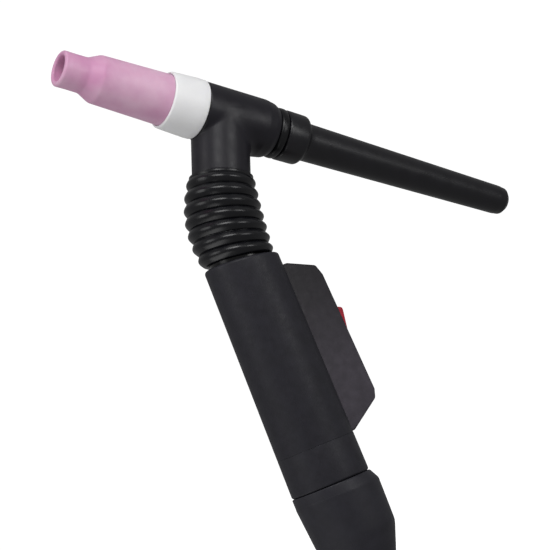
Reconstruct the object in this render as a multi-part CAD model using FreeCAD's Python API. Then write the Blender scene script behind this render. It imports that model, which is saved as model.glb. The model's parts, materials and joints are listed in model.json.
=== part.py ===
import FreeCAD, Part
import math
import os

os.makedirs("parts", exist_ok=True)
V = FreeCAD.Vector

# Frame: handle axis on +Z, cable inlet's mouth at the origin, back cap towards +X, all in mm.

# handle, rear collar and cable boot
TUBE_TOP = 134.6
RIM_HEIGHT = 132.4
RIM_TILT = math.radians(7.0)
TUBE_BOTTOM = 61.5
BOOT_FRONT = 47.0
R_TUBE_TOP = 13.6
R_BOOT_FRONT = 14.7
TUBE_BORE = 11.2
COLLAR_BORE = 9.0
SPIGOT_REAR = 36.0
R_SPIGOT_REAR = 12.0
R_BOOT = 15.9
BOOT_SHOULDER = 43.4
SHOULDER_LEAN = 1.1
R_BOOT_WAIST = 14.6
BOOT_WAIST = 27.0
WAIST_LEAN = 1.6
R_BOOT_TAIL = 9.2
TAIL_LEAN = 0.3
BOOT_TAIL = 9.0
R_INLET = 6.0
INLET_LENGTH = 20.0

# gas and current path in the handle
R_CONDUIT = 4.6
R_GAS = 2.5
NOSE_BOTTOM = 120.0
NOSE_TOP = 130.0
SOCKET_TOP = 138.0
SOCKET_BOTTOM = 104.0
R_STUD = 4.76
STUD_BOTTOM = 84.0
HEX_BOTTOM = 98.0
HEX_TOP = 106.0
HEX_FLATS = 11.0

# neck: bend pivot on the handle axis, bend angle, and the bellows round it
PIVOT_Z = 150.0
BEND = math.radians(23.2)
HALF_BEND_LENGTH = 15.9
BEND_RADIUS = HALF_BEND_LENGTH / math.tan(BEND / 2)
BELLOWS_BORE = 10.2
R_BELLOWS_WALL = 11.9
RIDGE_COUNT = 7
RIDGE_FIRST = 1.5
RIDGE_PITCH = 4.32
RIDGE_SECTION = 2.3
R_RIDGE_WIDEST = 14.3
WIDEST_RIDGE = 2.3
RIDGE_NARROWING = 0.13
SLEEVE_TILT = math.radians(10.0)
SLEEVE_SAG = 0.75
CUFF_HEIGHT = 2.8
R_CUFF = 11.4

# head: neck and barrel cross at the head centre
NECK_LENGTH = 37.8
HEAD_ANGLE = math.radians(98.6)
R_NECK = 10.6
NECK_START = 16.2
R_BARREL = 10.8
BARREL_FRONT = -9.0
BARREL_BACK = 15.6
HEAD_END = 21.0
R_HEAD_END = 9.1
R_CORE = 8.2
R_CORE_END = 7.2
CORE_STEP = 12.0
THREAD_FRONT = 4.75
CORE_BORE = 3.6
THREAD_BACK = 5.8
FRONT_SEAT = -3.0
BACK_SEAT = 7.0

# front end, stations along the barrel axis (negative towards the nozzle)
INSULATOR_REAR = -9.3
INSULATOR_FRONT = -23.0
R_INSULATOR_REAR = 11.05
R_INSULATOR_FRONT = 10.3
RECESS_FLOOR = -17.2
NOZZLE_REAR = -17.5
NOZZLE_SHOULDER_BACK = -50.0
NOZZLE_SHOULDER_FRONT = -54.8
NOZZLE_TIP = -64.5
R_NOZZLE_BASE = 9.5
R_NOZZLE_BACK = 8.85
R_NOZZLE_FRONT = 6.65
R_NOZZLE_BORE = 4.8
R_CUP_THREAD = 6.9
CUP_THREAD_FRONT = -29.0
BODY_TIP = -47.0
R_BODY_NOSE = 4.4
R_COLLET = 2.45
COLLET_FRONT = -46.0
COLLET_REAR = 6.9
R_ELECTRODE = 1.2
ELECTRODE_TIP = -58.0
ELECTRODE_LENGTH = 175.0

# back cap
RING_CENTRE = 22.9
RING_SECTION = 1.6
R_RING = 7.8
CAP_FRONT = 24.6
COLLAR_END = 34.0
R_CAP_COLLAR = 9.35
CAP_TUBE_START = 34.9
R_CAP_START = 7.0
CAP_TUBE_END = 118.9
R_CAP_END = 5.4
CAP_TIP = 123.5
CAP_BORE = 2.3
CAP_BORE_END = 119.6
INSERT_FRONT = 7.3
INSERT_BACK = 33.0

# torch switch
BOX_HALF_WIDTH = 7.0
FACE_TOP_X = 26.4
FACE_TOP_Z = 118.0
FACE_LOW_X = 28.6
FACE_LOW_Z = 72.8
BOX_WALL = 1.1
BOX_TOP = 126.2
BOX_FOOT = 61.8
COVER_THICKNESS = 1.6
PIVOT_X = 23.3
TRIGGER_Z = 92.6
R_PIN = 0.95
TRIGGER_REACH = 13.4
TRIGGER_HALF_WIDTH = 5.5
TRIGGER_PROUD = 29.9
TRIGGER_LOW_X = 28.0
TRIGGER_FLUSH_Z = 95.4
SWITCH_X0 = 14.8
SWITCH_X1 = 21.3
SWITCH_Z0 = 94.6
SWITCH_Z1 = 107.4
SWITCH_HALF_WIDTH = 2.9
PLUNGER_Z = 101.0
R_WIRE = 0.6
WIRE_X = 7.6
WIRE_Y = 1.5
WIRE_END = 32.0

UP = V(0, 0, 1)
PIVOT = V(0, 0, PIVOT_Z)
NECK_DIR = V(math.sin(BEND), 0, math.cos(BEND))
ACROSS = V(math.cos(BEND), 0, -math.sin(BEND))
CAP_DIR = NECK_DIR * math.cos(HEAD_ANGLE) + ACROSS * math.sin(HEAD_ANGLE)
HEAD = PIVOT + NECK_DIR * NECK_LENGTH
ARC_START_Z = PIVOT_Z - HALF_BEND_LENGTH
ARC_CENTRE = V(BEND_RADIUS, 0, ARC_START_Z)


def turned(points):
    """Solid of revolution about local Z through (radius, height) corners."""
    corners = [V(r, 0, z) for r, z in points]
    face = Part.Face(Part.makePolygon(corners + corners[:1]))
    return face.revolve(V(), UP, 360)


def rounded(shape, ring, height, size):
    """Fillet the circular edge of the given radius and height."""
    picked = []
    for edge in shape.Edges:
        if isinstance(edge.Curve, Part.Circle):
            near_height = abs(edge.Curve.Center.z - height) < 0.01
            if near_height and abs(edge.Curve.Radius - ring) < 0.01:
                picked.append(edge)
    return shape.makeFillet(size, picked)


def drilled(shape, radius, low, high):
    return shape.cut(Part.makeCylinder(radius, high - low, V(0, 0, low)))


def grooved(shape, radius, depth, low, high, pitch):
    """Ring grooves that show a thread."""
    count = int((high - low) / pitch)
    for i in range(count):
        z = low + pitch * (i + 0.5)
        ring = turned([(radius - depth, z), (radius + 0.5, z - 0.4 * pitch), (radius + 0.5, z + 0.4 * pitch)])
        shape = shape.cut(ring)
    return shape


def on_head(shape):
    """Place a shape drawn along the barrel axis."""
    shape.Placement = FreeCAD.Placement(HEAD, FreeCAD.Rotation(UP, CAP_DIR))
    return shape


def on_neck(shape):
    """Place a shape drawn along the neck axis, heights measured from the bend pivot."""
    shape.Placement = FreeCAD.Placement(PIVOT, FreeCAD.Rotation(UP, NECK_DIR))
    return shape


def arc_point(length):
    """Point and direction on the bent neck's centreline."""
    angle = length / BEND_RADIUS
    x = BEND_RADIUS * (1 - math.cos(angle))
    z = ARC_START_Z + BEND_RADIUS * math.sin(angle)
    return V(x, 0, z), V(math.sin(angle), 0, math.cos(angle))


def sleeve_station(length):
    """Centre and direction of the rubber sleeve: it sags outwards and its lower end leans."""
    share = length / (BEND_RADIUS * BEND)
    sag = SLEEVE_SAG * (1 - share + math.sin(math.pi * share))
    point, _ = arc_point(length)
    angle = SLEEVE_TILT + (BEND - SLEEVE_TILT) * share
    return point - V(sag, 0, 0), V(math.sin(angle), 0, math.cos(angle))


def bent_rod(radius, start, end):
    """Round rod that follows the neck's centreline between two arc lengths."""
    point, direction = arc_point(start)
    disc = Part.Face(Part.Wire(Part.makeCircle(radius, point, direction)))
    sweep = math.degrees((end - start) / BEND_RADIUS)
    return disc.revolve(ARC_CENTRE, V(0, 1, 0), sweep)


def tube_radius(z):
    share = (TUBE_TOP - z) / (TUBE_TOP - BOOT_FRONT)
    return R_TUBE_TOP + share * (R_BOOT_FRONT - R_TUBE_TOP)


def block(x0, x1, half_y, z0, z1):
    return Part.makeBox(x1 - x0, 2 * half_y, z1 - z0, V(x0, -half_y, z0))


def handle_tube():
    body = turned([
        (TUBE_BORE, TUBE_BOTTOM),
        (tube_radius(TUBE_BOTTOM), TUBE_BOTTOM),
        (tube_radius(TUBE_TOP), TUBE_TOP),
        (TUBE_BORE, TUBE_TOP),
    ])
    body = rounded(body, tube_radius(TUBE_BOTTOM), TUBE_BOTTOM, 0.35)
    above = Part.makeBox(60, 60, 20, V(-30, -30, 0))
    lean = FreeCAD.Rotation(V(0, 1, 0), math.degrees(RIM_TILT))
    above.Placement = FreeCAD.Placement(V(0, 0, RIM_HEIGHT), lean).multiply(above.Placement)
    body = body.cut(above)
    slot = block(TUBE_BORE - 2, SWITCH_X0 + 0.5, 3.4, SWITCH_Z0 - 4, SWITCH_Z1 - 1)
    return body.cut(slot)


def handle_rear_collar():
    body = turned([
        (COLLAR_BORE, SPIGOT_REAR),
        (R_SPIGOT_REAR, SPIGOT_REAR),
        (R_SPIGOT_REAR, BOOT_FRONT),
        (R_BOOT_FRONT, BOOT_FRONT),
        (tube_radius(TUBE_BOTTOM), TUBE_BOTTOM),
        (TUBE_BORE - 0.02, TUBE_BOTTOM),
        (TUBE_BORE - 0.02, TUBE_BOTTOM + 8),
        (COLLAR_BORE, TUBE_BOTTOM + 8),
    ])
    return rounded(body, tube_radius(TUBE_BOTTOM), TUBE_BOTTOM, 0.35)


def cable_boot():
    """Rubber boot that swells on the trigger side and tapers to the cable inlet."""
    rings = [
        (R_BOOT_TAIL, 0, 0),
        (R_BOOT_TAIL + 0.6, BOOT_TAIL, TAIL_LEAN),
        (R_BOOT_WAIST, BOOT_WAIST, WAIST_LEAN),
        (R_BOOT, BOOT_SHOULDER, SHOULDER_LEAN),
        (R_BOOT_FRONT + 0.25, BOOT_FRONT, 0),
    ]
    circles = [Part.Wire(Part.makeCircle(r, V(lean, 0, z))) for r, z, lean in rings]
    body = Part.makeLoft(circles, True, True)
    bore = turned([
        (0, -1),
        (R_INLET, -1),
        (R_INLET, INLET_LENGTH),
        (R_SPIGOT_REAR + 0.02, SPIGOT_REAR - 0.2),
        (R_SPIGOT_REAR + 0.02, BOOT_FRONT + 1),
        (0, BOOT_FRONT + 1),
    ])
    body = body.cut(bore)
    body = rounded(body, R_BOOT, BOOT_SHOULDER, 0.9)
    return rounded(body, R_BOOT_TAIL, 0, 1.0)


def handle_nose():
    body = turned([
        (R_CONDUIT + 0.02, NOSE_BOTTOM),
        (TUBE_BORE - 0.02, NOSE_BOTTOM),
        (TUBE_BORE - 0.02, NOSE_TOP),
        (R_CONDUIT + 0.02, NOSE_TOP),
    ])
    return rounded(body, TUBE_BORE - 0.02, NOSE_TOP, 0.6)


def conduit_socket():
    body = turned([
        (R_GAS, SOCKET_BOTTOM),
        (3.9, SOCKET_BOTTOM),
        (3.9, HEX_TOP),
        (6.4, HEX_TOP),
        (6.4, HEX_TOP + 3),
        (R_CONDUIT, HEX_TOP + 3),
        (R_CONDUIT, SOCKET_TOP),
        (R_GAS, SOCKET_TOP),
    ])
    return body


def power_adaptor():
    stud = turned([
        (R_GAS, STUD_BOTTOM),
        (R_STUD - 0.7, STUD_BOTTOM),
        (R_STUD, STUD_BOTTOM + 0.7),
        (R_STUD, HEX_BOTTOM),
        (R_GAS, HEX_BOTTOM),
    ])
    stud = grooved(stud, R_STUD, 0.5, STUD_BOTTOM + 1.2, HEX_BOTTOM - 1.5, 1.06)
    corner = HEX_FLATS / math.sqrt(3)
    ring = [V(corner * math.cos(math.pi * i / 3), corner * math.sin(math.pi * i / 3), HEX_BOTTOM) for i in range(6)]
    nut = Part.Face(Part.makePolygon(ring + ring[:1])).extrude(V(0, 0, HEX_TOP - HEX_BOTTOM))
    nut = drilled(nut, R_GAS, HEX_BOTTOM, SOCKET_BOTTOM)
    nut = drilled(nut, 3.92, SOCKET_BOTTOM, HEX_TOP)
    return stud.fuse(nut).removeSplitter()


def box_corners(inset):
    """Side outline of the switch housing, with its outer side moved in by an inset."""
    side = -BOX_HALF_WIDTH
    return [
        V(9, side, BOX_FOOT),
        V(14.2, side, BOX_FOOT),
        V(FACE_LOW_X - 1.2 - inset, side, FACE_LOW_Z - 3.2),
        V(FACE_LOW_X - inset, side, FACE_LOW_Z),
        V(FACE_TOP_X - inset, side, FACE_TOP_Z),
        V(FACE_TOP_X - 1.5 - inset, side, FACE_TOP_Z + 4.0),
        V(14.0, side, BOX_TOP),
        V(9, side, BOX_TOP),
    ]


def box_solid(inset):
    corners = box_corners(inset)
    face = Part.Face(Part.makePolygon(corners + corners[:1]))
    return face.extrude(V(0, 2 * BOX_HALF_WIDTH, 0))


def box_outline():
    """Outer shape of the switch housing, standing on the handle's side."""
    solid = box_solid(0)
    edges = []
    for edge in solid.Edges:
        middle = edge.CenterOfMass
        if abs(abs(middle.y) - BOX_HALF_WIDTH) < 0.01 and middle.x > 16:
            edges.append(edge)
    return solid.makeFillet(0.9, edges)


def switch_box():
    body = box_outline().common(box_solid(COVER_THICKNESS))
    seat = turned([(0, 40), (tube_radius(40), 40), (tube_radius(TUBE_TOP), TUBE_TOP), (0, TUBE_TOP)])
    body = body.cut(seat)
    inside = BOX_HALF_WIDTH - BOX_WALL
    body = body.cut(block(9, FACE_LOW_X, inside, BOX_FOOT + 13, BOX_TOP - 12))
    pin = Part.makeCylinder(R_PIN, 2 * inside + 1.2, V(PIVOT_X, -inside - 0.6, TRIGGER_Z), V(0, 1, 0))
    return body.cut(pin)


def switch_cover():
    body = box_outline().cut(box_solid(COVER_THICKNESS))
    top = TRIGGER_Z + TRIGGER_REACH + 0.2
    window = block(PIVOT_X, TRIGGER_PROUD, TRIGGER_HALF_WIDTH + 0.25, TRIGGER_FLUSH_Z - 0.3, top)
    body = body.cut(window)
    return max(body.Solids, key=lambda solid: solid.Volume)


def trigger():
    """Wedge lever: flush with the cover at its lower end, proud at its upper end."""
    half = TRIGGER_HALF_WIDTH
    corners = [
        V(PIVOT_X - 0.3, -half, TRIGGER_Z),
        V(PIVOT_X + 1.6, -half, TRIGGER_Z),
        V(PIVOT_X + 1.6, -half, TRIGGER_FLUSH_Z),
        V(TRIGGER_LOW_X, -half, TRIGGER_FLUSH_Z),
        V(TRIGGER_PROUD, -half, TRIGGER_Z + TRIGGER_REACH - 2),
        V(TRIGGER_PROUD, -half, TRIGGER_Z + TRIGGER_REACH + 1),
        V(PIVOT_X - 0.3, -half, TRIGGER_Z + TRIGGER_REACH + 1),
    ]
    wedge = Part.Face(Part.makePolygon(corners + corners[:1])).extrude(V(0, 2 * half, 0))
    base = V(PIVOT_X, -half, TRIGGER_Z)
    reach = Part.makeCylinder(TRIGGER_REACH, 2 * half, base, V(0, 1, 0))
    wedge = wedge.common(reach)
    wedge = wedge.fuse(Part.makeCylinder(1.7, 2 * half, base, V(0, 1, 0)))
    return wedge.cut(Part.makeCylinder(R_PIN + 0.05, 2 * half, base, V(0, 1, 0)))


def trigger_pin():
    inside = BOX_HALF_WIDTH - BOX_WALL
    return Part.makeCylinder(R_PIN, 2 * inside + 1.2, V(PIVOT_X, -inside - 0.6, TRIGGER_Z), V(0, 1, 0))


def microswitch_body():
    body = block(SWITCH_X0, SWITCH_X1, SWITCH_HALF_WIDTH, SWITCH_Z0, SWITCH_Z1)
    plunger_hole = Part.makeCylinder(0.85, 3.5, V(SWITCH_X1 - 3.0, 0, PLUNGER_Z), V(1, 0, 0))
    body = body.cut(plunger_hole)
    for z in (SWITCH_Z0 + 1.5, SWITCH_Z1 - 1.5):
        body = body.cut(Part.makeCylinder(0.8, 8, V(SWITCH_X0 + 1.6, -4, z), V(0, 1, 0)))
    return body


def microswitch_plunger():
    body = Part.makeCylinder(0.8, 3.1, V(SWITCH_X1 - 1.8, 0, PLUNGER_Z), V(1, 0, 0))
    return body


def microswitch_brackets():
    """Two cross pins that hold the switch between the housing's walls."""
    inside = BOX_HALF_WIDTH - BOX_WALL
    pins = []
    for z in (SWITCH_Z0 + 1.5, SWITCH_Z1 - 1.5):
        pins.append(Part.makeCylinder(0.78, 2 * inside, V(SWITCH_X0 + 1.6, -inside, z), V(0, 1, 0)))
    return Part.makeCompound(pins)


def microswitch_terminals():
    blades = []
    for z in (SWITCH_Z0 + 2.5, SWITCH_Z1 - 4.5):
        blades.append(block(SWITCH_X0 - 3.0, SWITCH_X0, 0.9, z - 0.25, z + 0.25))
    return Part.makeCompound(blades)


def lead(side, z):
    """One insulated wire from a switch blade down to the cable boot."""
    start = V(SWITCH_X0 - 3.1, side * WIRE_Y, z)
    turn = V(WIRE_X + 0.0, side * WIRE_Y, z - 3.0)
    foot = V(WIRE_X, side * WIRE_Y, WIRE_END)
    first = turn - start
    upper = Part.makeCylinder(R_WIRE, first.Length, start, first)
    lower = Part.makeCylinder(R_WIRE, turn.z - foot.z, foot, UP)
    elbow = Part.makeSphere(R_WIRE, turn)
    return upper.fuse([elbow, lower]).removeSplitter()


def switch_leads():
    return Part.makeCompound([lead(-1, SWITCH_Z0 + 2.5), lead(1, SWITCH_Z1 - 4.5)])


def neck_bellows():
    """Bent rubber sleeve with rounded ridges and a plain cuff at its upper end."""
    total = BEND_RADIUS * BEND
    body = bent_rod(R_BELLOWS_WALL, 0.7, total - CUFF_HEIGHT)
    body = body.fuse(bent_rod(R_CUFF, total - CUFF_HEIGHT, total))
    for i in range(RIDGE_COUNT):
        point, direction = sleeve_station(RIDGE_FIRST + RIDGE_PITCH * i)
        outer = R_RIDGE_WIDEST - RIDGE_NARROWING * (i - WIDEST_RIDGE) ** 2
        body = body.fuse(Part.makeTorus(outer - RIDGE_SECTION, RIDGE_SECTION, point, direction))
    body = body.cut(bent_rod(BELLOWS_BORE, -1, total + 1))
    above = on_neck(Part.makeCylinder(30, 10, V(0, 0, HALF_BEND_LENGTH)))
    return body.cut(above)


def flex_conduit():
    total = BEND_RADIUS * BEND
    body = bent_rod(R_CONDUIT - 0.4, SOCKET_TOP - ARC_START_Z + 0.6, total - 4.8)
    body = body.cut(bent_rod(R_GAS, 0, total))
    return body


def core_outline():
    barrel = turned([
        (0, BARREL_FRONT),
        (R_CORE, BARREL_FRONT),
        (R_CORE, CORE_STEP),
        (R_CORE_END, CORE_STEP),
        (R_CORE_END, HEAD_END),
        (0, HEAD_END),
    ])
    stem = Part.makeCylinder(R_CONDUIT, NECK_LENGTH - 11.7, V(0, 0, 11.7))
    return on_head(barrel).fuse(on_neck(stem)).removeSplitter()


def head_core():
    """Brass body: cup end, cap end and gas stem in one turned and brazed piece."""
    front = Part.makeCylinder(THREAD_FRONT, FRONT_SEAT - BARREL_FRONT, V(0, 0, BARREL_FRONT))
    middle = Part.makeCylinder(CORE_BORE, BACK_SEAT - FRONT_SEAT, V(0, 0, FRONT_SEAT))
    back = Part.makeCylinder(THREAD_BACK, HEAD_END - BACK_SEAT, V(0, 0, BACK_SEAT))
    gas = Part.makeCylinder(R_GAS, NECK_LENGTH, V(0, 0, 0))
    body = core_outline()
    for bore in (on_head(front), on_head(middle), on_head(back), on_neck(gas)):
        body = body.cut(bore)
    return body


def head_shell():
    neck = turned([(0, NECK_START), (R_NECK, NECK_START), (R_NECK, NECK_LENGTH), (0, NECK_LENGTH)])
    neck = on_neck(rounded(neck, R_NECK, NECK_START, 0.5))
    front = Part.makeCylinder(R_INSULATOR_REAR + 0.5, 20, V(0, 0, BARREL_FRONT - 20))
    neck = neck.cut(on_head(front))
    barrel = turned([
        (0, BARREL_FRONT),
        (R_BARREL, BARREL_FRONT),
        (R_BARREL, BARREL_BACK),
        (R_BARREL - 0.6, BARREL_BACK + 3.4),
        (R_HEAD_END, HEAD_END),
        (0, HEAD_END),
    ])
    barrel = rounded(barrel, R_BARREL, BARREL_FRONT, 0.5)
    barrel = rounded(barrel, R_BARREL, BARREL_BACK, 3.0)
    barrel = rounded(barrel, R_HEAD_END, HEAD_END, 0.6)
    body = on_head(barrel).fuse(neck).removeSplitter()
    return body.cut(core_outline()).cut(neck_ferrule())


def neck_ferrule():
    """Brass ring on the gas stem that the neck sleeve is clamped over."""
    return on_neck(turned([
        (R_CONDUIT, 11.7),
        (8.4, 11.7),
        (8.4, NECK_START + 3),
        (R_CONDUIT, NECK_START + 3),
    ]))


def collet_body():
    body = turned([
        (R_COLLET + 0.1, FRONT_SEAT - 0.4),
        (THREAD_FRONT - 0.03, FRONT_SEAT - 0.4),
        (THREAD_FRONT - 0.03, BARREL_FRONT),
        (R_CUP_THREAD, BARREL_FRONT),
        (R_CUP_THREAD, CUP_THREAD_FRONT),
        (R_BODY_NOSE, CUP_THREAD_FRONT - 2.4),
        (R_BODY_NOSE, BODY_TIP + 2.2),
        (R_ELECTRODE + 1.3, BODY_TIP),
        (R_ELECTRODE + 0.15, BODY_TIP),
        (R_ELECTRODE + 0.15, BODY_TIP + 0.7),
        (R_COLLET + 0.1, BODY_TIP + 1.6),
    ])
    body = grooved(body, R_CUP_THREAD, 0.35, CUP_THREAD_FRONT + 0.6, RECESS_FLOOR - 0.4, 1.5)
    for i in range(4):
        angle = math.pi * i / 2
        away = V(math.cos(angle), math.sin(angle), 0)
        body = body.cut(Part.makeCylinder(0.8, 6, V(0, 0, BODY_TIP + 8), away))
    return on_head(body)


def nozzle_insulator():
    body = turned([
        (R_CUP_THREAD + 0.1, RECESS_FLOOR),
        (R_NOZZLE_BASE + 0.15, RECESS_FLOOR),
        (R_NOZZLE_BASE + 0.15, INSULATOR_FRONT),
        (R_INSULATOR_FRONT, INSULATOR_FRONT),
        (R_INSULATOR_FRONT + 0.1, INSULATOR_FRONT + 4),
        (R_INSULATOR_REAR, INSULATOR_REAR - 1.5),
        (R_INSULATOR_REAR, INSULATOR_REAR),
        (R_CUP_THREAD + 0.1, INSULATOR_REAR),
    ])
    body = rounded(body, R_INSULATOR_FRONT, INSULATOR_FRONT, 0.4)
    return on_head(rounded(body, R_INSULATOR_REAR, INSULATOR_REAR, 0.4))


def nozzle():
    body = turned([
        (R_CUP_THREAD + 0.1, NOZZLE_REAR),
        (R_NOZZLE_BASE, NOZZLE_REAR),
        (R_NOZZLE_BASE, INSULATOR_FRONT),
        (R_NOZZLE_BACK, NOZZLE_SHOULDER_BACK),
        (R_NOZZLE_FRONT, NOZZLE_SHOULDER_FRONT),
        (R_NOZZLE_FRONT, NOZZLE_TIP),
        (R_NOZZLE_BORE, NOZZLE_TIP),
        (R_NOZZLE_BORE, NOZZLE_SHOULDER_FRONT - 0.5),
        (R_CUP_THREAD - 0.4, NOZZLE_SHOULDER_BACK + 2),
        (R_CUP_THREAD + 0.1, CUP_THREAD_FRONT - 2),
    ])
    body = rounded(body, R_NOZZLE_BACK, NOZZLE_SHOULDER_BACK, 2.0)
    body = rounded(body, R_NOZZLE_FRONT, NOZZLE_SHOULDER_FRONT, 2.0)
    body = rounded(body, R_NOZZLE_FRONT, NOZZLE_TIP, 0.8)
    return on_head(rounded(body, R_NOZZLE_BORE, NOZZLE_TIP, 0.6))


def collet():
    body = turned([
        (R_ELECTRODE + 0.05, COLLET_FRONT + 0.3),
        (R_COLLET - 0.8, COLLET_FRONT + 0.3),
        (R_COLLET, COLLET_FRONT + 2.0),
        (R_COLLET, COLLET_REAR),
        (R_ELECTRODE + 0.05, COLLET_REAR),
    ])
    slit = Part.makeBox(0.4, 8, 20, V(-0.2, -4, COLLET_FRONT - 1))
    return on_head(body.cut(slit))


def tungsten_electrode():
    body = turned([
        (0, ELECTRODE_TIP),
        (0.15, ELECTRODE_TIP),
        (R_ELECTRODE, ELECTRODE_TIP + 5),
        (R_ELECTRODE, ELECTRODE_TIP + ELECTRODE_LENGTH),
        (0, ELECTRODE_TIP + ELECTRODE_LENGTH),
    ])
    return on_head(body)


def back_cap_insert():
    body = turned([
        (R_ELECTRODE + 0.6, INSERT_FRONT),
        (THREAD_BACK - 1.2, INSERT_FRONT),
        (THREAD_BACK - 1.2, BACK_SEAT + 1.2),
        (THREAD_BACK - 0.06, BACK_SEAT + 2.4),
        (THREAD_BACK - 0.06, HEAD_END + 0.3),
        (R_RING - RING_SECTION, HEAD_END + 0.3),
        (R_RING - RING_SECTION, INSERT_BACK),
        (CAP_BORE, INSERT_BACK),
        (CAP_BORE, INSERT_FRONT + 3),
    ])
    body = grooved(body, THREAD_BACK - 0.06, 0.35, BACK_SEAT + 3, HEAD_END - 0.5, 1.27)
    return on_head(body)


def back_cap_o_ring():
    return on_head(Part.makeTorus(R_RING, RING_SECTION, V(0, 0, RING_CENTRE), UP))


def back_cap():
    body = turned([
        (R_RING - RING_SECTION, CAP_FRONT),
        (R_CAP_COLLAR, CAP_FRONT),
        (R_CAP_COLLAR, COLLAR_END - 1.0),
        (R_CAP_START, CAP_TUBE_START),
        (R_CAP_END, CAP_TUBE_END),
        (R_CAP_END - 2.6, CAP_TIP),
        (0, CAP_TIP),
        (0, CAP_BORE_END),
        (CAP_BORE, CAP_BORE_END),
        (CAP_BORE, INSERT_BACK),
        (R_RING - RING_SECTION, INSERT_BACK),
    ])
    body = rounded(body, R_CAP_COLLAR, CAP_FRONT, 0.7)
    body = rounded(body, R_CAP_COLLAR, COLLAR_END - 1.0, 1.2)
    body = rounded(body, R_CAP_END, CAP_TUBE_END, 3.0)
    return on_head(rounded(body, R_CAP_END - 2.6, CAP_TIP, 1.5))


PIECES = (
    handle_tube, handle_rear_collar, cable_boot, handle_nose, conduit_socket, power_adaptor,
    switch_box, switch_cover, trigger, trigger_pin,
    microswitch_body, microswitch_plunger, microswitch_brackets, microswitch_terminals, switch_leads,
    neck_bellows, flex_conduit,
    head_core, head_shell, neck_ferrule, collet_body,
    nozzle_insulator, nozzle, collet, tungsten_electrode,
    back_cap, back_cap_insert, back_cap_o_ring,
)

for piece in PIECES:
    shape = piece()
    shape.exportStep(os.path.join("parts", piece.__name__ + ".step"))
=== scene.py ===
import json
import math

import bmesh
import bpy
import numpy as np
from mathutils import Matrix, Vector


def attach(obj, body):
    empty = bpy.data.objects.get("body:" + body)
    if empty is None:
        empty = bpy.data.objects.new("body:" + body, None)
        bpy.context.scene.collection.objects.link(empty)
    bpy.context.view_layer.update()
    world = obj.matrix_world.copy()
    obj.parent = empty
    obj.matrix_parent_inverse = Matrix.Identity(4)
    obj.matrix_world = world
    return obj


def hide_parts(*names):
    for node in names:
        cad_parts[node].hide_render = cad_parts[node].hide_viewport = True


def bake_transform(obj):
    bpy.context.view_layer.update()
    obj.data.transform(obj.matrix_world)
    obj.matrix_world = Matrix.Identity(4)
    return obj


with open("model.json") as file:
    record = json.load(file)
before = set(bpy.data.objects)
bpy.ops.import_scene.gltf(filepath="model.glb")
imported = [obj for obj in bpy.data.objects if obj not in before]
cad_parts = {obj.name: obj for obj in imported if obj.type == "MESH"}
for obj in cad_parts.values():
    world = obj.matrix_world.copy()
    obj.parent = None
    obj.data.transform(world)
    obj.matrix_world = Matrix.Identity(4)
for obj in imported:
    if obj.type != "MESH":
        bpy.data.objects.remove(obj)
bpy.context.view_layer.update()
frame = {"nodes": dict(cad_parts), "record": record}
MM = 0.001
JOINTS = {joint["name"]: joint for joint in frame["record"]["behaviour"]["joints"]}

# ---------------------------------------------------------------- axes taken from the frame
# HEAD is where the barrel's axis crosses the neck's, PIVOT where the neck's crosses the handle's.
# The sideways hinge is square to the centreline at three quarters of the bend, which gives its angle.
UP = Vector((0, 0, 1))
CAP_DIR = Vector(JOINTS["back_cap_turn"]["axis"]).normalized()
RING_PLANE = Vector(JOINTS["back_cap_turn"]["pos_m"])
HEAD_TAIL = 21.0
HEAD = RING_PLANE - CAP_DIR * (HEAD_TAIL * MM)
YAW_AXIS = Vector(JOINTS["neck_yaw"]["axis"]).normalized()
YAW_SHARE = 0.75
BEND = math.atan2(-YAW_AXIS.z, YAW_AXIS.x) / YAW_SHARE
NECK_DIR = Vector((math.sin(BEND), 0, math.cos(BEND)))
NECK_LENGTH = 37.8
PIVOT = HEAD - NECK_DIR * (NECK_LENGTH * MM)
HALF_BEND = 15.9 * MM
BEND_RADIUS = HALF_BEND / math.tan(BEND / 2)
ARC_LENGTH = BEND_RADIUS * BEND
ARC_START_Z = PIVOT.z - HALF_BEND

# ---------------------------------------------------------------- fineness of the meshes
SEGMENTS = 128
ARC_STEPS = 6
MERGE_DISTANCE = 1e-7
SMOOTH_ANGLE = 35
ROUND_SMOOTH_ANGLE = 60


# ---------------------------------------------------------------- outlines and directions
def outline(corners):
    """2-D outline from (a, b, fillet) corners: each corner with a fillet becomes an arc."""
    points = []
    count = len(corners)
    for i, (a, b, fillet) in enumerate(corners):
        here = Vector((a, b))
        if fillet <= 0:
            points.append(here)
            continue
        before = (Vector(corners[i - 1][:2]) - here).normalized()
        after = (Vector(corners[(i + 1) % count][:2]) - here).normalized()
        half = before.angle(after) / 2
        reach = fillet / math.tan(half)
        centre = here + (before + after).normalized() * (fillet / math.sin(half))
        start = here + before * reach - centre
        end = here + after * reach - centre
        sweep = start.angle_signed(end)
        for k in range(ARC_STEPS + 1):
            turn = -sweep * k / ARC_STEPS
            c, s = math.cos(turn), math.sin(turn)
            points.append(centre + Vector((c * start.x - s * start.y, s * start.x + c * start.y)))
    return points


def axes_for(direction):
    """Two unit vectors square to a direction in the torch's plane of symmetry."""
    side = Vector((0, 1, 0))
    return side.cross(direction).normalized(), side


def outward(direction, step, steps):
    """Unit vector square to a direction, at one of the even steps of a turn about it."""
    across, side = axes_for(direction)
    angle = 2 * math.pi * step / steps
    return across * math.cos(angle) + side * math.sin(angle)


# ---------------------------------------------------------------- pieces
def add_object(name, data):
    """New object in the scene."""
    thing = bpy.data.objects.new(name, data)
    bpy.context.scene.collection.objects.link(thing)
    return thing


def mesh_from(name, bm):
    """Mesh from a bmesh, which is freed."""
    mesh = bpy.data.meshes.new(name)
    bm.to_mesh(mesh)
    bm.free()
    return mesh


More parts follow.
